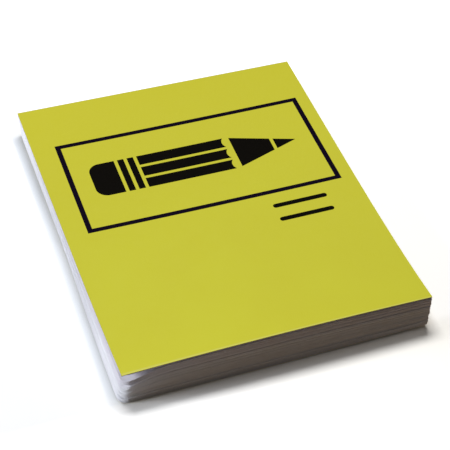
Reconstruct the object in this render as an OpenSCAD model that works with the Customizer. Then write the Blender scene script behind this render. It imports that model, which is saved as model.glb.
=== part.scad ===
// A small pad of sticky notes with a printed cover sheet.
// A strip of adhesive along the head holds the notes together, so the stack is tight there.
// At the tail the notes are free: they swell apart, curl up and part into sheaves.
// X runs across the pad, +Y points to the head, +Z is up. The origin is the centre of the base.

/* [Notes] */
// Width of a note
note_w = 76; // [66:1:150]
// Length of a note, from the head to the tail
note_l = 96; // [76:1:200]
// Number of notes in the pad
note_count = 50; // [25:5:100]
// Height that each note adds at the head, with its film of adhesive
note_pitch = 0.125; // [0.09:0.001:0.2]

/* [Splay] */
// How much higher the stack stands at the tail than at the head
tail_rise = 3.0; // [1:0.1:6]
// How late the rise starts: a higher number keeps the pad flat for longer
curl_power = 4.5; // [2:0.5:6]
// How far the stack leans to the head, from its base to the cover
head_lean = 1.1; // [0:0.1:2]
// How far the stack leans to the right, from its base to the cover
side_lean = 0.8; // [0:0.1:2]
// Number of sheaves that the notes part into
sheaf_count = 10; // [4:1:16]
// How far a sheaf strays at the tail from the even lean
sheaf_stray = 0.18; // [0:0.01:0.5]

/* [Fanned corner] */
// How far the notes sag at the front left corner, under a few that stay by the cover
sag_gap = 2.2; // [0.4:0.1:2.6]
// How far that opening runs along the tail
sag_reach = 8; // [4:0.5:12]
// Share of the stack's height at which that opening has its roof
sag_level = 0.95; // [0.88:0.01:0.96]
// Height of the small opening lower down, between the leaves of the same corner
fan_gap = 1; // [0.2:0.05:1.2]
// How far that opening runs along the tail
fan_reach = 6; // [2:0.5:8]
// Share of the stack's height at which that opening has its roof
fan_level = 0.64; // [0.4:0.01:0.64]
// Radius to which that corner of the notes is worn round
worn_r = 3.4; // [0.5:0.1:4]

/* [Cover and backing] */
// Thickness of the cover sheet
cover_t = 0.15; // [0.1:0.01:0.4]
// Thickness of the backing sheet under the last note
backing_t = 0.12; // [0.08:0.01:0.5]
// Film of adhesive between the notes and the sheets above and below them
film_t = 0.02; // [0.01:0.005:0.05]

/* [Printed border] */
// Distance from the cover's left edge in to the border
border_left = 5.8; // [2:0.1:8]
// Distance from the cover's right edge in to the border
border_right = 3.4; // [2:0.1:8]
// Height of the border along the pad, over its lines
border_h = 33.3; // [20:0.1:40]
// Width of the border's line
border_line = 1.2; // [0.5:0.1:3]
// Distance from the cover's head edge down to the border
border_top = 15.6; // [4:0.1:20]
// Angle by which the print is turned clockwise on the cover
print_skew = 0.3; // [0:0.1:1]
// Thickness of the printed ink
ink_t = 0.02; // [0.01:0.005:0.05]

/* [Printed pencil] */
// Distance from the border's line to the pencil, at its eraser and at its point
pencil_side = 4.7; // [2:0.1:10]
// Width of the pencil across its barrel
pencil_d = 12; // [6:0.5:16]
// Bare gap between the pencil's printed pieces
pencil_gap = 0.9; // [0.4:0.1:1.5]
// How far the pencil stands above the middle of the border
pencil_lift = 1; // [-2:0.5:2]

/* [Printed bars] */
// Length of each short bar under the border
bar_l = 14.4; // [6:0.1:30]
// Width of each bar
bar_t = 1.4; // [0.8:0.1:3]
// Distance between the two bars, middle to middle
bar_pitch = 5; // [3:0.1:8]
// Distance from the border down to the middle of the first bar
bar_drop = 4.6; // [2:0.1:10]

/* [Hidden] */
// Facets of a circle
$fn = 48;
// Straight pieces that make up the curl, from the head to the tail
curl_steps = 24;
// How far a sheaf reaches down into the one below it, so that the stack is one solid
sheaf_bite = 0.05;
// Angle that scatters the sheaves without a repeat
scatter_angle = 137.5;
// Height of the stack of notes at the head
stack_h = note_count * note_pitch;
// Level at which the lowest note lies
stack_z = backing_t + film_t;
// Level of the cover's underside above the stack
cover_z = stack_z + film_t;
// Angles at which the scatter of the sheaves starts, across and along the pad
scatter_across = 40;
scatter_along = 160;
// Width of the border, over its lines
border_w = note_w - border_left - border_right;
// Middle of the border, on a cover that is not shifted
border_x = (border_left - border_right) / 2;
border_y = note_l / 2 - border_top - border_h / 2;
// Length of the pencil, which stands in the middle of the border's width
pencil_l = border_w - 2 * border_line - 2 * pencil_side;
// Right end of the pencil and of the bars, measured from the border's middle
print_right = pencil_l / 2;

// Height of the stack at a share t of the way from the head to the tail
function stack_at(t) = stack_h + tail_rise * pow(t, curl_power);

// A place on the YZ profile: a share t of the way to the tail, a share f of the stack up
function profile_at(t, f, lift) =
    [note_l * (0.5 - t), lift + f * stack_at(t)];

// The profile of a layer that follows the curl, between two shares of the stack
module layer_profile(low, low_lift, high, high_lift) {
    polygon(concat(
        [for (i = [0 : curl_steps]) profile_at(i / curl_steps, low, low_lift)],
        [for (i = [curl_steps : -1 : 0]) profile_at(i / curl_steps, high, high_lift)]));
}

// A layer the width of a note, with its profile across the YZ plane
module layer(low, low_lift, high, high_lift) {
    translate([-note_w / 2, 0, 0])
        rotate([90, 0, 90])
            linear_extrude(note_w)
                layer_profile(low, low_lift, high, high_lift);
}

// Moves a layer by its share of the stack's lean: 0 is the base and 1 the cover. A layer that
// strays sideways turns about the middle of its head, where the adhesive holds it.
module splayed(share, stray_x = 0, stray_y = 0) {
    translate([side_lean * (share - 0.5), head_lean * (share - 0.5) + stray_y, 0])
        translate([0, note_l / 2, 0])
            rotate([0, 0, -asin(stray_x / note_l)])
                translate([0, -note_l / 2, 0])
                    children();
}

// How far sheaf k strays: the top sheaf stays under the cover and does not stray
function stray(k, start) =
    k < sheaf_count - 1 ? sheaf_stray * sin(start + scatter_angle * k) : 0;

// One sheaf of notes, lapped into the sheaf below it
module sheaf(k) {
    splayed(k / (sheaf_count - 1), stray(k, scatter_across), stray(k, scatter_along) / 2)
        layer(k / sheaf_count, stack_z - (k > 0 ? sheaf_bite : 0),
              (k + 1) / sheaf_count, stack_z);
}

// Front left corner of the stack, at its lowest and leftmost
corner_x = -(note_w + side_lean) / 2;
corner_y = -(note_l + head_lean) / 2;

// A wedge-shaped opening at the front left corner, where the leaves fan apart. It follows the
// curl at a share of the stack's height, is as high as gap at the corner, and closes on a line
// from the tail edge to the left edge.
module corner_opening(level, gap, tail_reach) {
    side_reach = 3 * tail_reach;
    corner_z = stack_z + level * stack_at(1);
    curl_drop = level * (stack_at(1) - stack_at(1 - side_reach / note_l));
    line_angle = atan2(side_reach, tail_reach);
    line_l = norm([side_reach, tail_reach]);
    depth = tail_reach * sin(line_angle);
    // The wedge runs past the corner by its own depth, so that it cuts every stray sheaf
    far = 2 * depth;
    translate([corner_x + tail_reach, corner_y, corner_z])
        rotate([-atan(curl_drop / side_reach), 0, 180 - line_angle])
            translate([-depth, 0, 0])
                rotate([90, 0, 90])
                    linear_extrude(line_l + 2 * depth)
                        polygon([[0, 0], [far, -gap * far / depth], [far, 0]]);
}

// What wear takes off the notes at that corner, which it leaves round
module worn_corner() {
    margin = 1;
    translate([corner_x, corner_y, 0])
        linear_extrude(2 * stack_at(1))
            difference() {
                translate([-margin, -margin])
                    square(worn_r + margin);
                translate([worn_r, worn_r])
                    circle(worn_r);
            }
}

module note_stack() {
    color("#f2f1f3")
        difference() {
            union()
                for (k = [0 : sheaf_count - 1])
                    sheaf(k);
            corner_opening(sag_level, sag_gap, sag_reach);
            corner_opening(fan_level, fan_gap, fan_reach);
            worn_corner();
        }
}

module cover_sheet() {
    color("#c6c438")
        splayed(1)
            layer(1, cover_z, 1, cover_z + cover_t);
}

module backing_sheet() {
    color("#e4e2de")
        splayed(0)
            translate([-note_w / 2, -note_l / 2, 0])
                cube([note_w, note_l, backing_t]);
}

// Ink printed on the cover: a flat outline, drawn about the middle of the border, that is cut
// out of a thin layer which follows the curl
module ink() {
    print_height = cover_z + cover_t + stack_at(1) + 1;
    color("#1c1230")
        splayed(1)
            intersection() {
                layer(1, cover_z + cover_t, 1, cover_z + cover_t + ink_t);
                linear_extrude(print_height)
                    translate([border_x, border_y])
                        rotate(-print_skew)
                            children();
            }
}

module border_outline() {
    inner_w = border_w - 2 * border_line;
    inner_h = border_h - 2 * border_line;
    difference() {
        square([border_w, border_h], center = true);
        square([inner_w, inner_h], center = true);
    }
}

module printed_border() {
    ink() border_outline();
}

// Shares of the pencil's length at which its pieces end, from the eraser to the point
eraser_end = 0.13;
ferrule_end = 0.24;
barrel_end = 0.68;
lead_start = 0.88;

// Half the pencil's width at a share s of its length: the barrel is even and the cone tapers
function pencil_half(s) =
    s < barrel_end ? pencil_d / 2 : pencil_d / 2 * (1 - s) / (1 - barrel_end);

// A slice of the pencil's silhouette between two shares of its length
module pencil_slice(from, to) {
    polygon([
        [from * pencil_l, -pencil_half(from)],
        [to * pencil_l, -pencil_half(to)],
        [to * pencil_l, pencil_half(to)],
        [from * pencil_l, pencil_half(from)]]);
}

// The eraser, a block with a rounded far end
module pencil_eraser() {
    round_r = pencil_d / 4;
    square_from = round_r;
    translate([square_from, -pencil_d / 2])
        square([eraser_end * pencil_l - square_from, pencil_d]);
    translate([0, -pencil_d / 2 + round_r])
        square([square_from + 0.01, pencil_d - 2 * round_r]);
    for (side = [-1, 1])
        translate([round_r, side * (pencil_d / 2 - round_r)])
            circle(round_r);
}

// The ferrule: two bands with a bare gap before, between and after them
module pencil_ferrule() {
    first = eraser_end * pencil_l + pencil_gap;
    last = ferrule_end * pencil_l - pencil_gap;
    band = (last - first - pencil_gap) / 2;
    for (x = [first, last - band])
        translate([x, -pencil_d / 2])
            square([band, pencil_d]);
}

// The barrel: three faces, each ending in a scallop where the paint is sharpened away
module pencil_barrel() {
    face = (pencil_d - 2 * pencil_gap) / 3;
    scallop_x = barrel_end * pencil_l;
    for (row = [-1 : 1])
        translate([0, row * (face + pencil_gap)])
            difference() {
                translate([ferrule_end * pencil_l, -face / 2])
                    square([scallop_x - ferrule_end * pencil_l, face]);
                translate([scallop_x + face * 0.35, 0])
                    circle(face * 0.75);
            }
}

// The sharpened cone, parted from the lead by a bare arc
module pencil_cone() {
    cone_x = barrel_end * pencil_l + pencil_gap;
    difference() {
        pencil_slice(cone_x / pencil_l, 1);
        translate([lead_start * pencil_l, -pencil_d])
            square([pencil_gap, 2 * pencil_d]);
    }
}

module printed_pencil() {
    ink()
        translate([print_right - pencil_l, pencil_lift]) {
            pencil_eraser();
            pencil_ferrule();
            pencil_barrel();
            pencil_cone();
        }
}

// Two short bars with round ends, in line with the pencil's point
module printed_bars() {
    bar_y = -border_h / 2 - bar_drop;
    ink()
        for (row = [0, 1])
            translate([print_right - bar_l, bar_y - row * bar_pitch]) {
                translate([bar_t / 2, -bar_t / 2])
                    square([bar_l - bar_t, bar_t]);
                for (x = [bar_t / 2, bar_l - bar_t / 2])
                    translate([x, 0])
                        circle(bar_t / 2);
            }
}

cover_sheet();
note_stack();
backing_sheet();
printed_border();
printed_pencil();
printed_bars();
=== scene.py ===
"""Looks of a small pad of sticky notes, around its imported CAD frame.

The cover, the ink on it, the fifty notes and the backing are meshes of their own, in the places
of the CAD solids. Lengths are in metres, and the sizes given in millimetres use MM.
"""

import math

import bmesh
import bpy
import numpy as np
from mathutils import Matrix, Vector


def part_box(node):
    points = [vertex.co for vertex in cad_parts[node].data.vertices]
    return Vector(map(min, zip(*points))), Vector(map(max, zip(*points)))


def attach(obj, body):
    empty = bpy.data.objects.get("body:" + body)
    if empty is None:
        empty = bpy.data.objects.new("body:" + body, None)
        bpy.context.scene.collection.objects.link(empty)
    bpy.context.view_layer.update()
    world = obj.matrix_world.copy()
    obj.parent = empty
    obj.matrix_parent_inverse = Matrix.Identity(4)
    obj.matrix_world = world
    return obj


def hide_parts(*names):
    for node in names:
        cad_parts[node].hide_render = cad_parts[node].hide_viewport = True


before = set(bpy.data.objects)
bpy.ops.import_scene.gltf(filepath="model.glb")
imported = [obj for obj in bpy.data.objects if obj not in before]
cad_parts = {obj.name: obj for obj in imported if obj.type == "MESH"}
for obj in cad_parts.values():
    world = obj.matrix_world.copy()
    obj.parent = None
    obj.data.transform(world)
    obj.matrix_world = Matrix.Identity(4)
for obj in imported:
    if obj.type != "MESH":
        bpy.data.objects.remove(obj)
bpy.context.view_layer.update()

MM = 0.001
BODY = "root"
RANDOM = np.random.RandomState(7)

# The pad, as the CAD frame gives it. The lean of its stack is halved about the origin.
COVER_LOW, COVER_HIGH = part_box("cover_sheet")
STACK_LOW, STACK_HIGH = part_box("note_stack")
BACKING_LOW, BACKING_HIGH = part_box("backing_sheet")
NOTE_WIDTH = COVER_HIGH.x - COVER_LOW.x
NOTE_LENGTH = COVER_HIGH.y - COVER_LOW.y
SIDE_LEAN = COVER_HIGH.x + COVER_LOW.x
HEAD_LEAN = COVER_HIGH.y + COVER_LOW.y
STACK_BASE = STACK_LOW.z

# The curl of the cover, and of the stack under it
COVER_THICKNESS = 0.15 * MM
CURL_POWER = 4.5
HEAD_HEIGHT = COVER_LOW.z - STACK_BASE
TAIL_RISE = COVER_HIGH.z - COVER_THICKNESS - COVER_LOW.z
# How far the cover's corners lie out of square, across the pad and towards the head, in the order
# head left, head right, tail left and tail right. It dies away down to the base.
CORNER_CUT = np.array(((-0.19, 0.43), (0.23, -0.46), (0.21, -0.33), (0.03, 0.03))) * MM
COVER_DIP = 0.34 * MM
COVER_CROWN = 0.63 * MM
CROWN_POWER = 3
# Share of the crown by which it stands lower at the side edges than the CAD frame
CROWN_SHARE = 0.84
INK_SINK = 0.005 * MM
INK_CUT_PITCH = 2.5 * MM
# How far the border's ink spreads into the paper on each side of its line
INK_SPREAD = 0.055 * MM

# The notes, which lie in sheaves at the tail
NOTE_COUNT = 50
NOTE_THICKNESS = 0.1 * MM
NOTE_GAP = 0.003 * MM
# Between these shares of the length, the sheets splay from the upright stack at the head
SPLAY_FROM = 0.4
SPLAY_TO = 0.9
SHEAF_SIZE = 5
SHEAF_STRAY = 0.14 * MM
NOTE_STRAY = 0.06 * MM
# Angles that scatter the sheaves, in degrees: the first across and along the pad, and the step
SCATTER_ACROSS = 40
SCATTER_ALONG = 160
SCATTER_STEP = 137.5
# The slack at the tail is shared out by weights: for each note, and more at the foot of a sheaf
NOTE_SLACK = (0.5, 1.2)
SHEAF_SLACK = 0.4
# Shares of the length between which the slack turns from even to uneven
LOOSE_FROM = 0.15
LOOSE_TO = 0.95
# How many notes under the cover stand back from its tail edge, and how far
SET_BACK_NOTES = 3
SET_BACK = 0.25 * MM
# Shares of the stack's depth between which the darker, more lilac colour of its uppermost notes,
# painted shade under the cover, dies away
PAINTED_SHADE_FROM = 0.12
PAINTED_SHADE_TO = 0.4
# Share of a note's tone that is random
TONE_SCATTER = 0.25

# Cells of the grids on a sheet, across and along it, and the power by which they crowd together
COVER_CELLS = (40, 64)
NOTE_CELLS = (22, 26)
CROWDING = 1.9
# The parts of a sheet's closed shell, and the slot of the cover's materials that each one takes
TOP, BOTTOM, RIM = 0, 1, 2
COVER_SLOTS = {TOP: 0, RIM: 1, BOTTOM: 2}
SHARP_ANGLE = math.radians(40)

# The openings at the front left corner, where the leaves fan apart: the first note above each,
# its height at the corner and its reach along the tail. Along the side it is longer.
CORNER_OPENINGS = ((47, 2.2 * MM, 10 * MM), (40, 1.0 * MM, 6 * MM), (18, 0.3 * MM, 3 * MM))
SIDE_REACH = 3.0
OPENING_POWER = 1.1
# Radius to which the corner is worn round: of the uppermost and the last note, how far a note's
# own radius strays, and of the backing sheet
WORN_TOP = 2.2 * MM
WORN_BASE = 2.4 * MM
WORN_SPREAD = 0.3 * MM
WORN_BACKING = 1.8 * MM
# Height to which the front right corner of the base curls off the table, and its reach
BASE_LIFT = 0.9 * MM
BASE_REACH = 45 * MM
BASE_POWER = 1.2

# The camera, which looks at a point on the cover
CAMERA_TARGET = Vector((0.734, -8.06, 7.0)) * MM
CAMERA_DISTANCE = 365.6 * MM
CAMERA_AZIMUTH = 20.62
CAMERA_ELEVATION = 44.73
CAMERA_ROLL = 1.98
CAMERA_LENS = 118.73
SENSOR_WIDTH = 36

# The floor as the camera sees it: a little over 1, so that it is white where it is fully lit. It is
# set lower before the right part of the tail and to the left of the pad, painted shade that deepens
# the shadow there.
FLOOR_WHITE = (1.42, 1.42, 1.43, 1)
FLOOR_RIGHT = (1.24, 1.22, 1.18, 1)
FLOOR_LEFT = (1.05, 1.06, 1.08, 1)
# The same close to the pad, over this reach: painted contact shadow, warm before the tail, bluer
# and darker beside the left side and darker still towards the head, and lighter with painted light
# towards the right end of the tail
CONTACT_FRONT = (0.86, 0.82, 0.74, 1)
CONTACT_LEFT = (0.34, 0.40, 0.48, 1)
CONTACT_HEAD = (0.08, 0.14, 0.22, 1)
CONTACT_RIGHT = (1.5, 1.45, 1.35, 1)
CONTACT_REACH = 4 * MM
# Between these shares of open sky, the floor's colour turns from that of contact to the open one
CONTACT_SKY = 0.5
OPEN_SKY = 1.0
# The floor as the pad sees it: a dark card before the tail, and a white one to the left
CARD_FRONT = (0.36, 0.25, 0.14, 1)
CARD_LEFT = (0.88, 0.89, 0.93, 1)
# Half the width over which one colour of the floor turns into the next
FLOOR_TURN = 2 * MM
FLOOR_SIZE = 3.0
FLOOR_DROP = 0.01 * MM

SKY_COLOR = (1.0, 0.95, 0.90, 1)
SKY_STRENGTH = 0.07
BACKDROP_COLOR = (1, 1, 1, 1)


def srgb(red, green, blue):
    """The linear colour of a screen colour from 0 to 255."""
    def linear(value):
        share = value / 255
        return share / 12.92 if share <= 0.04045 else ((share + 0.055) / 1.055) ** 2.4
    return (linear(red), linear(green), linear(blue), 1)


def smooth_step(low, high, value):
    """0 below low, 1 above high and a smooth rise between them."""
    share = np.clip((value - low) / (high - low), 0, 1)
    return share * share * (3 - 2 * share)


# Node helpers

class Shader:
    """A material's node tree, with short calls for the nodes that this scene uses."""

    def __init__(self, name):
        self.material = bpy.data.materials.new(name)
        self.material.use_nodes = True
        self.nodes = self.material.node_tree.nodes
        self.links = self.material.node_tree.links
        self.nodes.clear()
        self.output = self.nodes.new("ShaderNodeOutputMaterial")
        self.place = self.nodes.new("ShaderNodeTexCoord").outputs["Object"]

    def join(self, value, socket):
        """Sets a socket from another socket or from a plain value."""
        if isinstance(value, bpy.types.NodeSocket):
            self.links.new(value, socket)
        else:
            socket.default_value = value

    def principled(self, color, roughness, specular, normal):
        """Makes this the material's surface."""
        node = self.nodes.new("ShaderNodeBsdfPrincipled")
        self.join(color, node.inputs["Base Color"])
        self.join(roughness, node.inputs["Roughness"])
        node.inputs["Specular IOR Level"].default_value = specular
        self.join(normal, node.inputs["Normal"])
        self.links.new(node.outputs[0], self.output.inputs["Surface"])

    def axes(self):
        """The object's coordinates, one by one."""
        node = self.nodes.new("ShaderNodeSeparateXYZ")
        self.links.new(self.place, node.inputs[0])
        return node.outputs

    def stretched(self, x, y, z):
        """The object's coordinates, scaled along each axis."""
        node = self.nodes.new("ShaderNodeMapping")
        self.links.new(self.place, node.inputs["Vector"])
        node.inputs["Scale"].default_value = (x, y, z)
        return node.outputs[0]

    def noise(self, feature, detail=4, rough=0.55, place=None):
        """Noise from 0 to 1, whose features are about this wide, in metres."""
        node = self.nodes.new("ShaderNodeTexNoise")
        self.links.new(place or self.place, node.inputs["Vector"])
        node.inputs["Scale"].default_value = 1 / feature
        node.inputs["Detail"].default_value = detail
        node.inputs["Roughness"].default_value = rough
        return node.outputs["Fac"]

    def spread(self, value, low, high, low_to=0, high_to=1):
        """Maps low to high onto low_to to high_to, and stops at both ends."""
        node = self.nodes.new("ShaderNodeMapRange")
        self.join(value, node.inputs["Value"])
        for name, number in (("From Min", low), ("From Max", high),
                             ("To Min", low_to), ("To Max", high_to)):
            node.inputs[name].default_value = number
        return node.outputs[0]

    def math(self, operation, first, second):
        """Works out one number from two."""
        node = self.nodes.new("ShaderNodeMath")
        node.operation = operation
        self.join(first, node.inputs[0])
        self.join(second, node.inputs[1])
        return node.outputs[0]

    def mix(self, share, first, second):
        """Mixes two colours."""
        node = self.nodes.new("ShaderNodeMix")
        node.data_type = "RGBA"
        self.join(share, node.inputs[0])
        self.join(first, node.inputs[6])
        self.join(second, node.inputs[7])
        return node.outputs[2]

    def attribute(self, name):
        """A number that the mesh holds for each point."""
        node = self.nodes.new("ShaderNodeAttribute")
        node.attribute_name = name
        return node.outputs["Fac"]

    def bump(self, height, distance):
        """A surface that stands up by this distance where the height is 1."""
        node = self.nodes.new("ShaderNodeBump")
        self.join(height, node.inputs["Height"])
        node.inputs["Distance"].default_value = distance
        node.inputs["Strength"].default_value = 1
        return node.outputs[0]


# Materials

def paper_grain(shader):
    """Height of a calendered paper's surface: soft clouds with fine fibres lying both ways."""
    clouds = shader.noise(1.2 * MM, detail=3)
    along = shader.noise(0.25 * MM, detail=2, place=shader.stretched(1, 0.25, 1))
    across = shader.noise(0.25 * MM, detail=2, place=shader.stretched(0.3, 1, 1))
    fibres = shader.math("ADD", along, across)
    return shader.math("ADD", shader.math("MULTIPLY", clouds, 0.8), fibres)


def cover_paper():
    """Satin cover stock under a full flood of yellow-green ink."""
    shader = Shader("cover_paper")
    length = shader.axes()["Y"]
    to_head = shader.spread(length, COVER_LOW.y + NOTE_LENGTH / 3, COVER_HIGH.y)
    even = shader.mix(to_head, srgb(203, 201, 54), srgb(199, 194, 48))
    clouds = shader.spread(shader.noise(22 * MM, detail=3), 0.35, 0.65, 0.0, 0.5)
    flood = shader.mix(clouds, even, srgb(200, 195, 52))
    mottle = shader.spread(shader.noise(0.7 * MM, detail=5, rough=0.7), 0.3, 0.7, 0.0, 0.10)
    color = shader.mix(mottle, flood, srgb(208, 208, 66))
    # A paler line along the tail edge: a painted highlight where the cut edge catches the light.
    rim = shader.spread(length, COVER_LOW.y + 0.5 * MM, COVER_LOW.y + 0.2 * MM, 0.0, 0.35)
    color = shader.mix(rim, color, srgb(216, 215, 130))
    roughness = shader.spread(shader.noise(3 * MM, detail=4), 0.3, 0.7, 0.56, 0.66)
    shader.principled(color, roughness, 0.12, shader.bump(paper_grain(shader), 0.012 * MM))
    return shader.material


def cut_edge_paper():
    """The cover's cut edge, which the ink stains olive and painted shade makes darker still."""
    shader = Shader("cut_edge_paper")
    specks = shader.spread(shader.noise(0.4 * MM, detail=4), 0.3, 0.7)
    # The dark olive is partly the ink's stain and partly painted shade under the cover's edge.
    color = shader.mix(specks, srgb(92, 74, 2), srgb(118, 98, 12))
    shader.principled(color, 0.8, 0.2, shader.bump(shader.noise(0.1 * MM), 0.02 * MM))
    return shader.material


def cover_back():
    """The cover's unprinted underside."""
    shader = Shader("cover_back")
    clouds = shader.spread(shader.noise(5 * MM, detail=4), 0.3, 0.7)
    color = shader.mix(clouds, srgb(236, 236, 240), srgb(242, 242, 245))
    shader.principled(color, 0.8, 0.2, shader.bump(paper_grain(shader), 0.01 * MM))
    return shader.material


def printed_ink(name, deep, worn):
    """Offset ink on the cover: nearly black, with a faint mottle where the paper takes less."""
    shader = Shader(name)
    mottle = shader.spread(shader.noise(0.5 * MM, detail=5, rough=0.7), 0.35, 0.75)
    color = shader.mix(mottle, deep, worn)
    roughness = shader.spread(shader.noise(2 * MM, detail=3), 0.3, 0.7, 0.42, 0.52)
    shader.principled(color, roughness, 0.02, shader.bump(paper_grain(shader), 0.012 * MM))
    return shader.material


def note_paper():
    """Uncoated white note paper: each note has its own tone, fibres show at its cut edge, the
    uppermost notes are darker and more lilac as painted shade under the cover, and it is a little
    greyer away from the tail, painted shade where the photo shows the side darker."""
    shader = Shader("note_paper")
    tone_and_shade = shader.attribute("note_tone_and_shade")
    # The first colour is that of the uppermost notes, darker and more lilac as painted shade under
    # the cover; the second is the notes' own white.
    base = shader.mix(tone_and_shade, srgb(221, 217, 227), srgb(233, 234, 239))
    clouds = shader.spread(shader.noise(9 * MM, detail=4), 0.3, 0.7, 0.0, 0.35)
    color = shader.mix(clouds, base, srgb(230, 229, 236))
    # Greyer away from the tail: painted shade along the side of the stack.
    length = shader.axes()["Y"]
    shade = shader.spread(length, COVER_LOW.y + 8 * MM, COVER_LOW.y + 28 * MM, 0.0, 0.25)
    color = shader.mix(shade, color, srgb(206, 206, 214))
    grain = shader.math("ADD", shader.noise(0.35 * MM, detail=5), shader.noise(0.06 * MM))
    shader.principled(color, 0.9, 0.2, shader.bump(grain, 0.02 * MM))
    return shader.material


def backing_paper():
    """Thin release paper under the pad, a little warmer and smoother than the notes."""
    shader = Shader("backing_paper")
    clouds = shader.spread(shader.noise(6 * MM, detail=4), 0.3, 0.7)
    color = shader.mix(clouds, srgb(228, 226, 220), srgb(238, 236, 231))
    shader.principled(color, 0.55, 0.35, shader.bump(paper_grain(shader), 0.01 * MM))
    return shader.material


def floor_material():
    """A white floor that keeps the shadow, with painted contact shadow close to the pad and painted
    shade and light set by place around it. What it throws back on the pad is that of a white card
    to its left and a dark one before the tail, so that the tail stays in the shade."""
    shader = Shader("studio_floor")
    nodes, links = shader.nodes, shader.links
    path = nodes.new("ShaderNodeLightPath").outputs
    seen = shader.math("MAXIMUM", path["Is Camera Ray"], path["Is Glossy Ray"])
    seen = shader.math("MAXIMUM", seen, path["Is Transmission Ray"])
    axes = shader.axes()
    left_edge, tail_edge = -NOTE_WIDTH / 2, -NOTE_LENGTH / 2
    left = shader.spread(axes["X"], left_edge + FLOOR_TURN, left_edge - FLOOR_TURN)
    thrown = nodes.new("ShaderNodeBsdfDiffuse")
    shader.join(shader.mix(left, CARD_FRONT, CARD_LEFT), thrown.inputs["Color"])
    near = nodes.new("ShaderNodeAmbientOcclusion")
    near.samples = 16
    near.inputs["Distance"].default_value = CONTACT_REACH
    past_corner = shader.spread(axes["Y"], tail_edge - 2 * FLOOR_TURN, tail_edge)
    beside = shader.math("MULTIPLY", left, past_corner)
    to_right = shader.spread(axes["X"], -NOTE_WIDTH / 4, NOTE_WIDTH / 2)
    before = shader.mix(to_right, CONTACT_FRONT, CONTACT_RIGHT)
    to_head = shader.spread(axes["Y"], 0.0, NOTE_LENGTH / 4)
    # Painted contact shadow: darker beside the pad on the left and towards the head, lighter with
    # painted light towards the right end of the tail.
    painted_contact_shadow = shader.mix(beside, before, shader.mix(to_head, CONTACT_LEFT, CONTACT_HEAD))
    past_tail = shader.spread(axes["Y"], tail_edge + FLOOR_TURN, tail_edge - FLOOR_TURN)
    lower_right = shader.math("MULTIPLY", to_right, past_tail)
    # Painted shade: the white is lower before the right part of the tail, which draws the shadow
    # there longer, and lower to the left of the pad, which deepens the shade beside it.
    open_floor = shader.mix(beside, shader.mix(lower_right, FLOOR_WHITE, FLOOR_RIGHT), FLOOR_LEFT)
    white = nodes.new("ShaderNodeBsdfDiffuse")
    openness = shader.spread(near.outputs["AO"], CONTACT_SKY, OPEN_SKY)
    shader.join(shader.mix(openness, painted_contact_shadow, open_floor), white.inputs["Color"])
    chosen = nodes.new("ShaderNodeMixShader")
    links.new(seen, chosen.inputs[0])
    links.new(thrown.outputs[0], chosen.inputs[1])
    links.new(white.outputs[0], chosen.inputs[2])
    links.new(chosen.outputs[0], shader.output.inputs["Surface"])
    return shader.material


# The form of the pad

def stack_height(across, along):
    """Height of the stack up to the cover, from -1 to 1 across it and from 0 at the head to 1."""
    bulge = 1 - across ** 2
    rise = TAIL_RISE * along ** CURL_POWER
    dip = COVER_DIP * (1 - (2 * along - 1) ** 2) * bulge
    crown = COVER_CROWN * along ** CROWN_POWER * (bulge - CROWN_SHARE)
    return HEAD_HEIGHT + rise - dip + crown


def even_height(along):
    """The same height in the CAD frame, which is even across the pad."""
    return HEAD_HEIGHT + TAIL_RISE * along ** CURL_POWER


def out_of_square(across, along):
    """How far a point of the cover is moved by its cut, across the pad and towards the head."""
    right = (1 + across) / 2
    weights = ((1 - right) * (1 - along), right * (1 - along), (1 - right) * along, right * along)
    return [sum(weight * corner[axis] for weight, corner in zip(weights, CORNER_CUT))
            for axis in (0, 1)]


def splayed(across, along, share, stray_x=0.0, stray_y=0.0):
    """Place of a point of a sheet on the XY plane. Share 0 is the base and 1 the cover; a sheet
    strays by turning about the middle of its head, where the adhesive holds it."""
    angle = -math.asin(stray_x / NOTE_LENGTH)
    cut_x, cut_y = out_of_square(across, along)
    x = across * NOTE_WIDTH / 2 + cut_x * share
    y = -along * NOTE_LENGTH + cut_y * share
    lean_x = SIDE_LEAN * (0.5 - (1 - share) * smooth_step(SPLAY_FROM, SPLAY_TO, along))
    head_y = NOTE_LENGTH / 2 + HEAD_LEAN * (share - 0.5) + stray_y
    return (lean_x + x * math.cos(angle) - y * math.sin(angle),
            head_y + x * math.sin(angle) + y * math.cos(angle))


def sheet_grid(cells):
    """Two grids, across from -1 to 1 and along from 0 to 1. They crowd to the left and the tail."""
    across = np.linspace(0, 1, cells[0] + 1) ** CROWDING * 2 - 1
    along = 1 - np.linspace(1, 0, cells[1] + 1) ** CROWDING
    return np.meshgrid(across, along, indexing="ij")


def sheet_shell(bottom, top):
    """Points and faces of the closed sheet between two grids of points, and each face's part."""
    rows, columns = bottom.shape[:2]
    count = rows * columns
    index = np.arange(count).reshape(rows, columns)
    faces, parts = [], []
    for i in range(rows - 1):
        for j in range(columns - 1):
            a, b, c, d = index[i, j], index[i + 1, j], index[i + 1, j + 1], index[i, j + 1]
            faces += [(a + count, d + count, c + count, b + count), (a, b, c, d)]
            parts += [TOP, BOTTOM]
    rim = [*index[:, 0], *index[-1, 1:], *index[-2::-1, -1], *index[0, -2:0:-1]]
    for here, there in zip(rim, rim[1:] + rim[:1]):
        faces.append((here, there, there + count, here + count))
        parts.append(RIM)
    points = np.concatenate([bottom.reshape(-1, 3), top.reshape(-1, 3)])
    return points, np.array([[int(v) for v in f] for f in faces]), parts


def place_piece(name, mesh, node):
    """Puts a mesh in the scene for a CAD node."""
    piece = bpy.data.objects.new(name, mesh)
    bpy.context.scene.collection.objects.link(piece)
    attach(piece, BODY)
    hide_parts(node)


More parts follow.
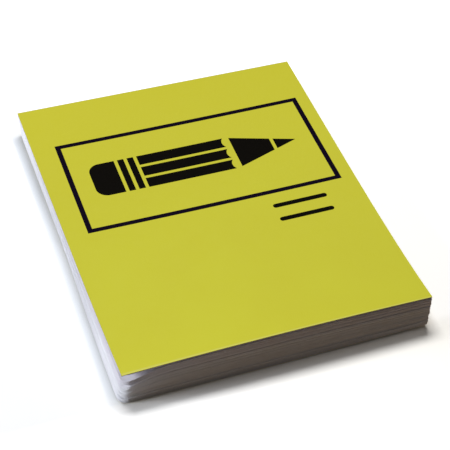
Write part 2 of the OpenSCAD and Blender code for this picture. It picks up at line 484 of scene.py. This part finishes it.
def add_piece(name, points, faces, materials, slots, node, tones_and_shade=None, smooth=False):
    """A closed mesh that stands for a CAD node. Its faces take the materials by their slots."""
    mesh = bpy.data.meshes.new(name)
    mesh.from_pydata(points.tolist(), [], faces.tolist())
    for material in materials:
        mesh.materials.append(material)
    mesh.polygons.foreach_set("material_index", slots)
    if tones_and_shade is not None:
        mesh.attributes.new("note_tone_and_shade", "FLOAT", "POINT").data.foreach_set("value", tones_and_shade)
    shell = bmesh.new()
    shell.from_mesh(mesh)
    bmesh.ops.recalc_face_normals(shell, faces=shell.faces)
    shell.to_mesh(mesh)
    shell.free()
    mesh.update()
    if smooth:
        mesh.shade_smooth()
        mesh.set_sharp_from_angle(angle=SHARP_ANGLE)
    place_piece(name, mesh, node)


def points_at(x, y, z):
    """A grid of points from the grids of their coordinates."""
    return np.stack([x, y, z], axis=-1)


def make_cover(paper, cut_edge, back):
    """The cover sheet, crowned at the tail and dipped in the middle."""
    across, along = sheet_grid(COVER_CELLS)
    x, y = splayed(across, along, 1.0)
    low = STACK_BASE + stack_height(across, along)
    high = low + COVER_THICKNESS
    points, faces, parts = sheet_shell(points_at(x, y, low), points_at(x, y, high))
    slots = [COVER_SLOTS[part] for part in parts]
    add_piece("cover", points, faces, [paper, cut_edge, back], slots, "cover_sheet",
              smooth=True)


def spread_ink(ink_mesh, width):
    """Moves the side walls of a printed field outward. Faces that turn less than a few degrees
    from one another are one wall."""
    ink_mesh.normal_update()
    steep = 0.5
    same_wall = 0.999
    moves = []
    for vertex in ink_mesh.verts:
        walls = []
        for face in vertex.link_faces:
            new = all(face.normal.dot(wall) < same_wall for wall in walls)
            if abs(face.normal.z) < steep and new:
                walls.append(face.normal.copy())
        move = sum(walls, Vector())
        if len(walls) == 2:
            move /= 1 + walls[0].dot(walls[1])
        moves.append(Vector((move.x, move.y, 0)) * width)
    for vertex, move in zip(ink_mesh.verts, moves):
        vertex.co += move


def make_ink(name, node, ink, spread=0.0):
    """The ink of a CAD node, cut into short pieces and laid on the cover's dip and crown."""
    ink_mesh = bmesh.new()
    ink_mesh.from_mesh(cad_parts[node].data)
    bmesh.ops.remove_doubles(ink_mesh, verts=ink_mesh.verts, dist=0.001 * MM)
    spread_ink(ink_mesh, spread)
    low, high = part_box(node)
    for axis, normal in enumerate(((1, 0, 0), (0, 1, 0))):
        for place in np.arange(low[axis] + INK_CUT_PITCH, high[axis], INK_CUT_PITCH):
            whole = [*ink_mesh.verts, *ink_mesh.edges, *ink_mesh.faces]
            bmesh.ops.bisect_plane(ink_mesh, geom=whole, plane_co=Vector(normal) * place,
                                   plane_no=normal)
    for vertex in ink_mesh.verts:
        across = (vertex.co.x - SIDE_LEAN / 2) / (NOTE_WIDTH / 2)
        along = (COVER_HIGH.y - vertex.co.y) / NOTE_LENGTH
        vertex.co.z += stack_height(across, along) - even_height(along) - INK_SINK
    mesh = bpy.data.meshes.new(name)
    ink_mesh.to_mesh(mesh)
    ink_mesh.free()
    mesh.materials.clear()
    mesh.materials.append(ink)
    place_piece(name, mesh, node)


def slack_shares():
    """For each note, the share of the stack's slack that lies below it: even at the head, and
    uneven at the tail, where the wide gaps lie between sheaves."""
    loose = RANDOM.uniform(*NOTE_SLACK, NOTE_COUNT)
    loose[::SHEAF_SIZE] += RANDOM.uniform(0, SHEAF_SLACK, len(loose[::SHEAF_SIZE]))
    even = (np.arange(NOTE_COUNT) + 0.5) / NOTE_COUNT
    uneven = np.cumsum(loose) / (loose.sum() + loose.mean())
    return even, uneven


def corner_share(across, along, reach):
    """1 at the front left corner, and 0 on a line from the tail edge to the left edge."""
    from_left = (across + 1) / 2 * NOTE_WIDTH
    from_tail = (1 - along) * NOTE_LENGTH
    return np.clip(1 - from_left / reach - from_tail / (SIDE_REACH * reach), 0, 1)


def corner_drop(across, along, note):
    """How far a note sags at the front left corner, under the openings that lie above it."""
    drop = 0
    for first_above, gap, reach in CORNER_OPENINGS:
        if note < first_above:
            share = (note + 1) / first_above
            drop = drop + gap * share * corner_share(across, along, reach) ** OPENING_POWER
    return drop


def base_lift(across, along):
    """How far the base stands off the table, at its front right corner."""
    from_right = (1 - across) / 2 * NOTE_WIDTH
    from_tail = (1 - along) * NOTE_LENGTH
    share = np.clip(1 - (from_right + from_tail) / BASE_REACH, 0, 1)
    return BASE_LIFT * share ** BASE_POWER


def worn_corner(across, along, radius):
    """The same grids, with their front left corner drawn in to a round one."""
    from_left = (across + 1) / 2 * NOTE_WIDTH
    from_tail = (1 - along) * NOTE_LENGTH
    u = np.clip(1 - from_left / radius, 0, 1)
    v = np.clip(1 - from_tail / radius, 0, 1)
    from_left = from_left + radius * u * (1 - np.sqrt(1 - v * v / 2))
    from_tail = from_tail + radius * v * (1 - np.sqrt(1 - u * u / 2))
    return from_left / NOTE_WIDTH * 2 - 1, 1 - from_tail / NOTE_LENGTH


def scatter(first_angle, sheaf):
    """A sheaf's share of the greatest stray, from -1 to 1."""
    return math.sin(math.radians(first_angle + SCATTER_STEP * sheaf))


def make_notes(paper):
    """The fifty notes, each a thin closed sheet that rests on the one below it."""
    across, along = sheet_grid(NOTE_CELLS)
    slack = stack_height(across, along) - NOTE_COUNT * NOTE_THICKNESS
    loose = smooth_step(LOOSE_FROM, LOOSE_TO, along)
    even, uneven = slack_shares()
    below = STACK_BASE + base_lift(across, along)
    all_points, all_faces, tones_and_shade, offset = [], [], [], 0
    for i in range(NOTE_COUNT):
        share = (i + 0.5) / NOTE_COUNT
        sheaf = i // SHEAF_SIZE
        top_sheaf = sheaf == NOTE_COUNT // SHEAF_SIZE - 1
        stray = 0 if top_sheaf else SHEAF_STRAY
        stray_x = stray * scatter(SCATTER_ACROSS, sheaf) + RANDOM.normal(0, NOTE_STRAY)
        stray_y = stray / 2 * scatter(SCATTER_ALONG, sheaf) + RANDOM.normal(0, NOTE_STRAY / 2)
        if i >= NOTE_COUNT - SET_BACK_NOTES:
            stray_y += SET_BACK
        radius = WORN_BASE + (WORN_TOP - WORN_BASE) * share + RANDOM.uniform(-1, 1) * WORN_SPREAD
        x, y = splayed(*worn_corner(across, along, radius), share, stray_x, stray_y)
        slack_below = even[i] * (1 - loose) + uneven[i] * loose
        low = STACK_BASE + i * NOTE_THICKNESS + slack * slack_below - corner_drop(across, along, i)
        low = np.maximum(low, below)
        high = low + NOTE_THICKNESS
        below = high + NOTE_GAP
        points, faces, _ = sheet_shell(points_at(x, y, low), points_at(x, y, high))
        all_points.append(points)
        all_faces.append(faces + offset)
        # The uppermost notes get a low tone, which is painted shade under the cover; the random
        # part is each note's own tone.
        unshaded_share = smooth_step(PAINTED_SHADE_FROM, PAINTED_SHADE_TO, 1 - share)
        tone_and_shade = unshaded_share * (1 - TONE_SCATTER) + RANDOM.uniform(0, TONE_SCATTER)
        tones_and_shade += [tone_and_shade] * len(points)
        offset += len(points)
    faces = np.concatenate(all_faces)
    add_piece("notes", np.concatenate(all_points), faces, [paper], [0] * len(faces),
              "note_stack", tones_and_shade)


def make_backing(paper):
    """The backing sheet under the last note."""
    across, along = sheet_grid(NOTE_CELLS)
    x, y = splayed(*worn_corner(across, along, WORN_BACKING), 0.0)
    lift = base_lift(across, along)
    points, faces, _ = sheet_shell(points_at(x, y, BACKING_LOW.z + lift),
                                   points_at(x, y, BACKING_HIGH.z + lift))
    add_piece("backing", points, faces, [paper], [0] * len(faces), "backing_sheet")


# The studio

def aim(thing, target):
    """Turns an object so that its -Z axis points at a target."""
    thing.rotation_euler = (target - thing.location).to_track_quat("-Z", "Y").to_euler()


def direction(azimuth, elevation):
    """From the pad to a place in that direction: azimuth 0 is in front of the tail, and it
    turns to the left of the pad."""
    a, e = math.radians(azimuth), math.radians(elevation)
    return Vector((-math.sin(a) * math.cos(e), -math.cos(a) * math.cos(e), math.sin(e)))


def make_camera():
    """The camera that took the photo."""
    data = bpy.data.cameras.new("camera")
    data.lens = CAMERA_LENS
    data.sensor_width = SENSOR_WIDTH
    data.clip_start = 0.01
    data.clip_end = 10
    camera = bpy.data.objects.new("camera", data)
    bpy.context.scene.collection.objects.link(camera)
    camera.location = CAMERA_TARGET + direction(CAMERA_AZIMUTH, CAMERA_ELEVATION) * CAMERA_DISTANCE
    level = (CAMERA_TARGET - camera.location).to_track_quat("-Z", "Y").to_matrix()
    roll = Matrix.Rotation(math.radians(CAMERA_ROLL), 3, "Z")
    camera.rotation_euler = (level @ roll).to_euler()
    bpy.context.scene.camera = camera


def make_lamp(name, azimuth, elevation, distance, width, height, level, color):
    """A soft box. At level 1 a white surface that faces it renders as white."""
    data = bpy.data.lights.new(name, "AREA")
    data.shape = "RECTANGLE"
    data.size = width
    data.size_y = height
    data.energy = level * (math.pi * distance) ** 2
    data.color = color
    lamp = bpy.data.objects.new(name, data)
    bpy.context.scene.collection.objects.link(lamp)
    lamp.location = direction(azimuth, elevation) * distance
    aim(lamp, Vector((0, 0, 0)))


def make_world():
    """A dim even sky that lights the pad, and a white backdrop for the camera."""
    world = bpy.data.worlds.new("studio_sky")
    bpy.context.scene.world = world
    world.use_nodes = True
    nodes, links = world.node_tree.nodes, world.node_tree.links
    nodes.clear()
    path = nodes.new("ShaderNodeLightPath")
    sky = nodes.new("ShaderNodeBackground")
    sky.inputs["Color"].default_value = SKY_COLOR
    sky.inputs["Strength"].default_value = SKY_STRENGTH
    backdrop = nodes.new("ShaderNodeBackground")
    backdrop.inputs["Color"].default_value = BACKDROP_COLOR
    backdrop.inputs["Strength"].default_value = 1
    chosen = nodes.new("ShaderNodeMixShader")
    output = nodes.new("ShaderNodeOutputWorld")
    links.new(path.outputs["Is Camera Ray"], chosen.inputs[0])
    links.new(sky.outputs[0], chosen.inputs[1])
    links.new(backdrop.outputs[0], chosen.inputs[2])
    links.new(chosen.outputs[0], output.inputs["Surface"])


def make_floor():
    """A wide floor, a hair below the pad."""
    mesh = bpy.data.meshes.new("floor")
    turns = ((-1, -1), (1, -1), (1, 1), (-1, 1))
    corners = [(x * FLOOR_SIZE, y * FLOOR_SIZE, -FLOOR_DROP) for x, y in turns]
    mesh.from_pydata(corners, [], [(0, 1, 2, 3)])
    mesh.materials.append(floor_material())
    floor = bpy.data.objects.new("floor", mesh)
    bpy.context.scene.collection.objects.link(floor)


make_camera()
make_cover(cover_paper(), cut_edge_paper(), cover_back())
border_ink = printed_ink("border_ink", srgb(8, 0, 16), srgb(17, 6, 32))
make_ink("border_print", "printed_border", border_ink, INK_SPREAD)
black_ink = printed_ink("black_ink", srgb(5, 3, 1), srgb(12, 9, 5))
make_ink("pencil_print", "printed_pencil", black_ink)
make_ink("bars_print", "printed_bars", black_ink)
make_notes(note_paper())
make_backing(backing_paper())
make_floor()
make_world()
make_lamp("key_lamp", azimuth=187, elevation=65.2, distance=0.9, width=0.5, height=0.24,
          level=0.78, color=(1.0, 0.99, 0.96))
make_lamp("side_lamp", azimuth=97, elevation=17, distance=0.9, width=0.3, height=0.3,
          level=0.82, color=(0.91, 0.955, 1.0))
bpy.context.scene.view_settings.view_transform = "Standard"
